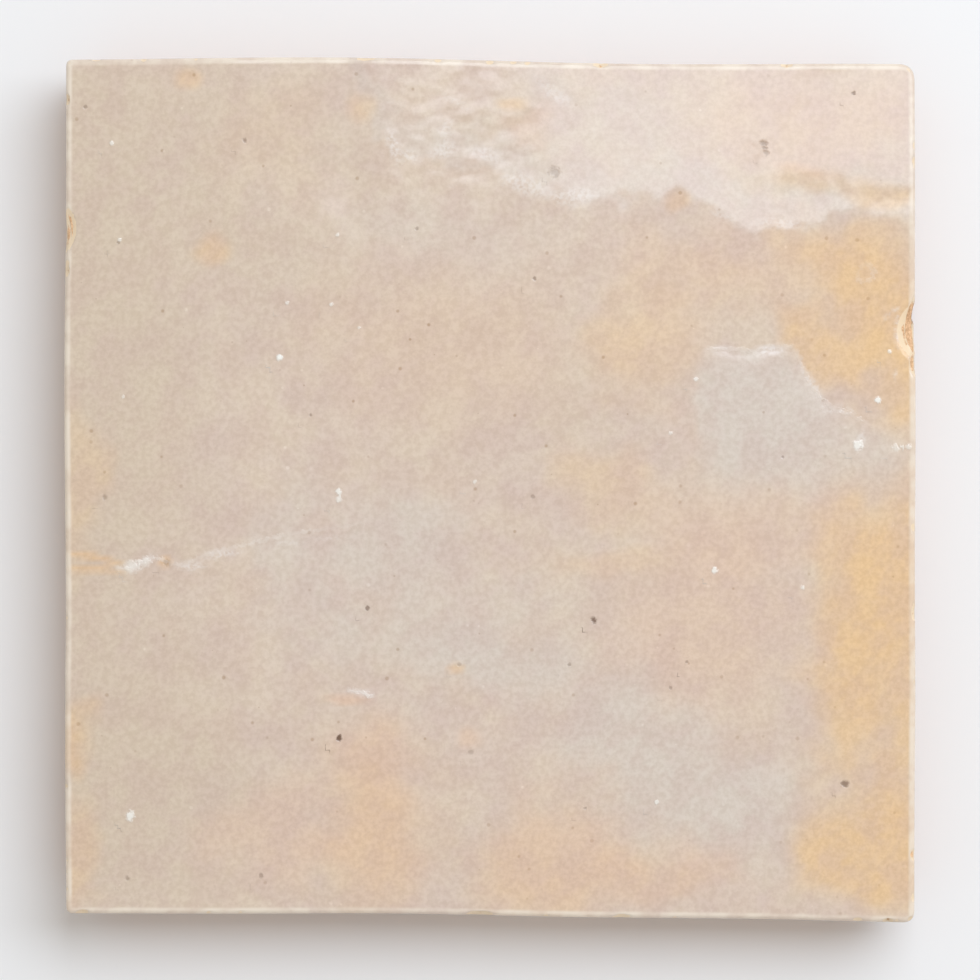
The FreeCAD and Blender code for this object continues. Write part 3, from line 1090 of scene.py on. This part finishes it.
def put_out(tree, made, *values):
    """Wires values to a group's outputs, in their order."""
    for value, socket in zip(values, made.inputs):
        tree.links.new(value, socket)


def use_group(tree, group, **inputs):
    """Places a node group in a tree with its own values."""
    made = tree.nodes.new("ShaderNodeGroup")
    made.node_tree = group
    for name, value in inputs.items():
        label = name.replace("_", " ").capitalize()
        if isinstance(value, bpy.types.NodeSocket):
            tree.links.new(value, made.inputs[label])
        else:
            made.inputs[label].default_value = value
    return made


def lighter_or_darker(tree, colour, value, span, dark, light):
    """The colour darkened at the low end of a value's span, and lightened at its high end."""
    dimmed = blend(tree, 1.0, colour, dark, "MULTIPLY")
    lit = blend(tree, 1.0, colour, light, "MULTIPLY")
    return blend(tree, rescale(tree, value, *span), dimmed, lit)


def lay_over(tree, colour, *layers):
    """Lays other colours over a colour, each by its mask and its strength."""
    for mask, strength, over in layers:
        colour = blend(tree, maths(tree, "MULTIPLY", mask, strength), colour, over)
    return colour


def relief(tree, first, *parts):
    """The sum of masks, each times its height."""
    total = maths(tree, "MULTIPLY", *first)
    for mask, height in parts:
        total = maths(tree, "ADD", total, maths(tree, "MULTIPLY", mask, height))
    return total


def pricks_group():
    """Small scattered dots, each its own size and strength."""
    tree, given, made = new_group(
        "Pricks", [("Cell size", "Float", 2.0), ("Share", "Float", 0.3)], [("Pricks", "Float")]
    )
    scale = maths(tree, "DIVIDE", 1.0, given.outputs["Cell size"])
    inputs = {0: place_in_mm(tree), "Scale": scale}
    place = add_node(tree, "VectorMath", inputs, operation="SCALE").outputs[0]
    cells = add_node(tree, "TexVoronoi", {"Vector": place, "Scale": 1.0})
    parts = add_node(tree, "SeparateColor", {"Color": cells.outputs["Color"]})
    away = maths(tree, "MULTIPLY", cells.outputs["Distance"], given.outputs["Cell size"])
    radius = rescale(tree, parts.outputs["Red"], 0.0, 1.0, 0.07, 0.3)
    dot = rescale(tree, maths(tree, "DIVIDE", away, radius), 1.1, 0.4)
    chosen = maths(tree, "LESS_THAN", parts.outputs["Green"], given.outputs["Share"])
    strength = rescale(tree, parts.outputs["Blue"], 0.0, 1.0, 0.25, 1.0)
    put_out(tree, made, maths(tree, "MULTIPLY", dot, maths(tree, "MULTIPLY", chosen, strength)))
    return tree


def fired_clay_group(pricks):
    """Fired clay: a warm ground with pale lime, dark grit, open pores painted dark as shade, the
    hollows of its grain painted darker and its lumps lighter, and dust on old faces.
    """
    inputs = [("Clay colour", "Color", (0.6, 0.3, 0.15, 1)), ("Dust", "Float", 1.0)]
    tree, given, made = new_group("Fired clay", inputs, SURFACE_OUTPUTS)
    place = place_in_mm(tree)
    broad = grain(tree, place, 26.0, 3.0, 0.55)
    middle = grain(tree, place, 2.6, 5.0, 0.68)
    fine = grain(tree, place, 0.34, 3.0, 0.65)
    drawn = add_node(tree, "VectorMath", {0: place, 1: (0.14, 1, 1)}, operation="MULTIPLY")
    drags = grain(tree, drawn.outputs[0], 1.1, 4.0, 0.6)
    shaded_pores, lime, grit = (
        use_group(tree, pricks, cell_size=size, share=0.35).outputs[0] for size in (0.9, 1.4, 1.9)
    )
    colour = given.outputs["Clay colour"]
    # The middle and fine grain paint shade in the clay's hollows and light on its lumps
    for value, tints in (
        (broad, BROAD_CLAY_TINTS), (middle, MIDDLE_CLAY_TONE_AND_SHADE), (fine, FINE_CLAY_TONE_AND_SHADE)
    ):
        colour = lighter_or_darker(tree, colour, value, *tints)
    settled = maths(tree, "ADD", drags, maths(tree, "MULTIPLY", fine, 0.8))
    colour = lay_over(
        tree,
        colour,
        (rescale(tree, settled, 0.7, 1.15, 0.02, 0.34), given.outputs["Dust"], DUST),
        (lime, 0.6, LIME),
        (grit, 0.6, GRIT),
        (shaded_pores, 0.7, PORE_SHADE),
    )
    roughness = rescale(tree, middle, 0.3, 0.7, 0.82, 0.96)
    height = relief(
        tree,
        (middle, GRAIN_HEIGHT),
        (fine, FINE_HEIGHT),
        (drags, DRAG_HEIGHT),
        (shaded_pores, PORE_HEIGHT),
    )
    put_out(tree, made, colour, roughness, height)
    return tree


def painted_marks(tree, name, shake):
    """The spots painted on the mesh under a name, with ragged outlines."""
    way = painted_value(tree, name, "Vector")
    strength = add_node(tree, "SeparateXYZ", {0: way}).outputs["Z"]
    flat = add_node(tree, "VectorMath", {0: way, 1: (1, 1, 0)}, operation="MULTIPLY").outputs[0]
    away = add_node(tree, "VectorMath", {0: flat}, operation="LENGTH").outputs["Value"]
    away = maths(tree, "ADD", away, maths(tree, "MULTIPLY", shake, RAGGED_MARK))
    return maths(tree, "MULTIPLY", rescale(tree, away, 1.2, 0.4), strength)


def milky_glaze_group(pricks):
    """The milky glaze with its pools of colour, its creases and beads painted pale as highlights, a
    painted reflection and highlights in its pools and smears, and specks.
    """
    inputs = [(name.capitalize(), "Color", (0.7, 0.6, 0.5, 1)) for name in GLAZE_COLOURS]
    tree, given, made = new_group("Milky glaze", inputs, SURFACE_OUTPUTS)
    place = place_in_mm(tree)
    cloud = painted_value(tree, "cloud")
    speckle = grain(tree, place, 0.65, 3.0, 0.62)
    dark_pricks = use_group(tree, pricks, cell_size=1.7, share=0.3).outputs[0]
    pale_pricks = use_group(tree, pricks, cell_size=2.3, share=0.25).outputs[0]
    shake = maths(tree, "SUBTRACT", grain(tree, place, 0.45, 2.0), 0.5)

    ground = given.outputs["Glaze"]
    colour = lighter_or_darker(tree, ground, painted_value(tree, "mist"), *MIST_TINTS)
    uneven = rescale(tree, cloud, 0.25, 0.75, 0.8, 1.1)
    for name in GLAZE_COLOURS[1:-1]:
        pooled = (painted_value(tree, name), uneven, given.outputs[name.capitalize()])
        colour = lay_over(tree, colour, pooled)
    colour = lighter_or_darker(tree, colour, cloud, *CLOUD_TINTS)
    colour = lighter_or_darker(tree, colour, speckle, *SPECKLE_TINTS)
    darker = blend(tree, 1.0, colour, DARK_PRICK, "MULTIPLY")
    paler = blend(tree, 1.0, colour, PALE_PRICK, "MULTIPLY")
    colour = blend(tree, dark_pricks, colour, darker)
    colour = blend(tree, pale_pricks, colour, paler)

    # The creases are painted pale as highlight along their ridges, and raised a little
    frayed = maths(tree, "MULTIPLY", shake, RAGGED_CREASE)
    away = maths(tree, "ADD", maths(tree, "ABSOLUTE", painted_value(tree, "crease")), frayed)
    crease = rescale(tree, away, 0.34, 0.04)
    crease = maths(tree, "MULTIPLY", crease, painted_value(tree, "crease_strength"))
    specks = painted_marks(tree, "specks", shake)
    # The beads are painted pale as glints, and raised
    bead_glints = painted_marks(tree, "bead_glints", shake)
    # A pale rim along the arris, partly painted highlight
    rim = rescale(tree, painted_value(tree, "from_edge"), 0.4, 0.0)
    # The smears are partly milky glaze and partly painted highlight
    colour = lay_over(
        tree,
        colour,
        (painted_value(tree, "milk_and_highlight"), rescale(tree, shake, -0.13, 0.13, 0.15), MILK_AND_HIGHLIGHT),
        (crease, 0.75, CREASE_HIGHLIGHT),
        (specks, 1.0, SPECK),
        (bead_glints, 1.0, BEAD_GLINT),
        (rim, rescale(tree, cloud, 0.3, 0.7, 0.35, 0.85), given.outputs["Rim"]),
    )
    roughness = rescale(tree, cloud, 0.25, 0.75, 0.065, 0.1)
    height = relief(tree, (bead_glints, BEAD_HEIGHT), (crease, CREASE_HEIGHT), (specks, SPECK_HEIGHT))
    put_out(tree, made, colour, roughness, height)
    return tree


def surface(name):
    """A new material, its node tree and its shader."""
    material = bpy.data.materials.new(name)
    material.use_nodes = True
    return material, material.node_tree, material.node_tree.nodes["Principled BSDF"]


def finish_surface(tree, shader, colour, roughness, height):
    """Gives a shader its colour, its roughness and its relief, which is in millimetres."""
    bump = add_node(tree, "Bump", {"Height": height, "Distance": MM})
    tree.links.new(colour, shader.inputs["Base Color"])
    tree.links.new(roughness, shader.inputs["Roughness"])
    tree.links.new(bump.outputs[0], shader.inputs["Normal"])


def placed_glaze(tree, group, colours):
    """The glaze group in a material, with the tile's colours."""
    return use_group(tree, group, **{name: (*getattr(colours, name), 1) for name in GLAZE_COLOURS})


def whole_glaze(colours, glaze_group):
    """The unbroken glaze of the face."""
    material, tree, shader = surface("milky_glaze")
    finish_surface(tree, shader, *placed_glaze(tree, glaze_group, colours).outputs)
    return material


def broken_glaze(colours, glaze_group, clay_group):
    """The glaze near the arris, and the clay where it has sprung off or never ran."""
    material, tree, shader = surface("glaze_over_clay")
    glaze = placed_glaze(tree, glaze_group, colours)
    sprung = rescale(tree, painted_value(tree, "broken"), 0.03, 0.09)
    unsprung = maths(tree, "SUBTRACT", 1.0, sprung)
    clay_colour = blend(tree, sprung, tuple(colours.clay), tuple(colours.fresh))
    clay = use_group(tree, clay_group, clay_colour=clay_colour, dust=unsprung)
    uneven = maths(tree, "SUBTRACT", grain(tree, place_in_mm(tree), 0.7, 3.0, 0.6), 0.5)
    ragged = maths(tree, "MULTIPLY", uneven, RAGGED_GLAZE)
    left = maths(tree, "ADD", painted_value(tree, "glaze"), ragged)
    covered = rescale(tree, left, 0.0, 0.05)
    section = maths(tree, "MULTIPLY", sprung, covered)
    colour = lay_over(
        tree,
        glaze.outputs["Colour"],
        (rescale(tree, left, 0.22, 0.03, 0.0, 0.5), unsprung, THIN_GLAZE),
        (section, 0.8, GLAZE_SECTION),
    )
    colour = blend(tree, covered, clay.outputs["Colour"], colour)
    glossy = mix_value(tree, section, glaze.outputs["Roughness"], 0.5)
    roughness = mix_value(tree, covered, clay.outputs["Roughness"], glossy)
    stands = maths(tree, "ADD", glaze.outputs["Height"], GLAZE_STEP)
    height = mix_value(tree, covered, clay.outputs["Height"], stands)
    finish_surface(tree, shader, colour, roughness, height)
    return material


def bare_clay(colours, clay_group):
    """The dressed sides and the back."""
    material, tree, shader = surface("bare_fired_clay")
    clay = use_group(tree, clay_group, clay_colour=(*colours.clay, 1))
    finish_surface(tree, shader, *clay.outputs)
    return material


def put_in_scene(name, data):
    """A new object of the scene, with this data."""
    made = bpy.data.objects.new(name, data)
    bpy.context.scene.collection.objects.link(made)
    return made


class MakeTile(bpy.types.Operator):
    """Builds the glazed tile as one closed mesh in place of its measured solid"""

    bl_idname = "tile.make_tile"
    bl_label = "Make the tile"

    def execute(self, context):
        scene = context.scene
        points, faces, material, painted = assemble(scene.tile_form)
        mesh = bpy.data.meshes.new("glazed_tile")
        mesh.from_pydata(points.tolist(), [], faces)
        if mesh.validate():
            raise RuntimeError("the tile's mesh had faults")
        mesh.polygons.foreach_set("use_smooth", np.ones(len(faces), bool))
        mesh.polygons.foreach_set("material_index", material.astype(np.int32))
        for name, values in painted.items():
            kind, key = ("FLOAT", "value") if values.ndim == 1 else ("FLOAT_VECTOR", "vector")
            attribute = mesh.attributes.new(name, kind, "POINT")
            attribute.data.foreach_set(key, values.astype(np.float32).ravel())
        colours = scene.tile_colours
        pricks = pricks_group()
        glaze, clay = milky_glaze_group(pricks), fired_clay_group(pricks)
        mesh.materials.append(whole_glaze(colours, glaze))
        mesh.materials.append(broken_glaze(colours, glaze, clay))
        mesh.materials.append(bare_clay(colours, clay))
        mesh.update()
        tile = put_in_scene("glazed_tile", mesh)
        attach(tile, "root")
        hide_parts(SOLID)
        return {"FINISHED"}


def area_light(name, place, aim, size, radiance, colour):
    """A softbox at a place, turned to an aim, of a given size and brightness."""
    data = bpy.data.lights.new(name, "AREA")
    data.shape = "RECTANGLE"
    data.size, data.size_y = size
    data.energy = radiance * math.pi * size[0] * size[1]
    data.color = colour
    lamp = put_in_scene(name, data)
    lamp.location = place
    lamp.rotation_euler = (Vector(place) - Vector(aim)).to_track_quat("Z", "Y").to_euler()


def plain_floor():
    """A wide matt floor under the tile."""
    mesh = bpy.data.meshes.new("floor")
    low, high = -FLOOR_REACH, FLOOR_REACH
    corners = [(low, low, 0), (high, low, 0), (high, high, 0), (low, high, 0)]
    mesh.from_pydata(corners, [], [(0, 1, 2, 3)])
    material, _, shader = surface("pale_floor")
    shader.inputs["Base Color"].default_value = FLOOR_COLOUR
    shader.inputs["Roughness"].default_value = 0.9
    shader.inputs["Specular IOR Level"].default_value = 0.1
    mesh.materials.append(material)
    floor = put_in_scene("floor", mesh)


def camera_above(stage):
    """The camera straight above the tile, which fills its share of the view."""
    low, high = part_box(SOLID)
    data = bpy.data.cameras.new("camera")
    data.lens = stage.lens
    camera = put_in_scene("camera", data)
    width = (high.x - low.x) / stage.share
    distance = width * data.lens / data.sensor_width
    camera.location = (0, 0, high.z + distance)
    return camera


def light_all_round(brightness):
    """The light from all round, with rows of low lights. The camera itself sees white."""
    world = bpy.data.worlds.new("surround")
    world.use_nodes = True
    tree = world.node_tree
    ways = add_node(tree, "SeparateXYZ", {0: add_node(tree, "TexCoord").outputs["Generated"]})
    up = ways.outputs["Z"]
    below = [brightness * part for part in LIGHT_BELOW]
    overhead = [brightness * part for part in LIGHT_OVERHEAD]
    light = blend(tree, rescale(tree, up, 0.0, 1.0), below, overhead)
    for foot, head in LOW_LIGHT_ROWS:
        under_head = rescale(tree, up, head + LOW_LIGHT_EDGE, head)
        row = maths(tree, "MULTIPLY", rescale(tree, up, foot, head), under_head)
        light = blend(tree, row, light, LOW_LIGHT)
    seen = add_node(tree, "LightPath").outputs["Is Camera Ray"]
    shown = blend(tree, seen, light, (1, 1, 1))
    tree.links.new(shown, tree.nodes["Background"].inputs["Color"])
    return world


class MakeStage(bpy.types.Operator):
    """Sets the pale floor, the soft light and the camera straight above the tile"""

    bl_idname = "tile.make_stage"
    bl_label = "Set the stage"

    def execute(self, context):
        scene = context.scene
        stage = scene.tile_stage
        plain_floor()
        scene.camera = camera_above(stage)
        place, aim = (*SOFTBOX_MIDDLE, SOFTBOX_HEIGHT), (*SOFTBOX_MIDDLE, 0)
        area_light("softbox", place, aim, SOFTBOX_SIZE, stage.softbox, SOFTBOX_COLOUR)
        scene.world = light_all_round(stage.surround)
        scene.view_settings.view_transform = "Standard"
        return {"FINISHED"}


class TilePanel(bpy.types.Panel):
    """The tile's sizes, colours and stage in the sidebar"""

    bl_idname = "VIEW3D_PT_tile"
    bl_label = "Tile"
    bl_space_type = "VIEW_3D"
    bl_region_type = "UI"
    bl_category = "Tile"

    def draw(self, context):
        scene = context.scene
        for group in (scene.tile_form, scene.tile_colours, scene.tile_stage):
            for name in group.__annotations__:
                self.layout.prop(group, name)
        for operator in (MakeTile, MakeStage):
            self.layout.operator(operator.bl_idname)


CLASSES = (TileForm, TileColours, TileStage, MakeTile, MakeStage, TilePanel)


def register():
    for one in CLASSES:
        bpy.utils.register_class(one)
    bpy.types.Scene.tile_form = PointerProperty(type=TileForm)
    bpy.types.Scene.tile_colours = PointerProperty(type=TileColours)
    bpy.types.Scene.tile_stage = PointerProperty(type=TileStage)


def unregister():
    del bpy.types.Scene.tile_form
    del bpy.types.Scene.tile_colours
    del bpy.types.Scene.tile_stage
    for one in reversed(CLASSES):
        bpy.utils.unregister_class(one)


def main():
    """Builds the tile and its stage."""
    register()
    bpy.ops.tile.make_tile()
    bpy.ops.tile.make_stage()


if __name__ == "__main__":
    main()
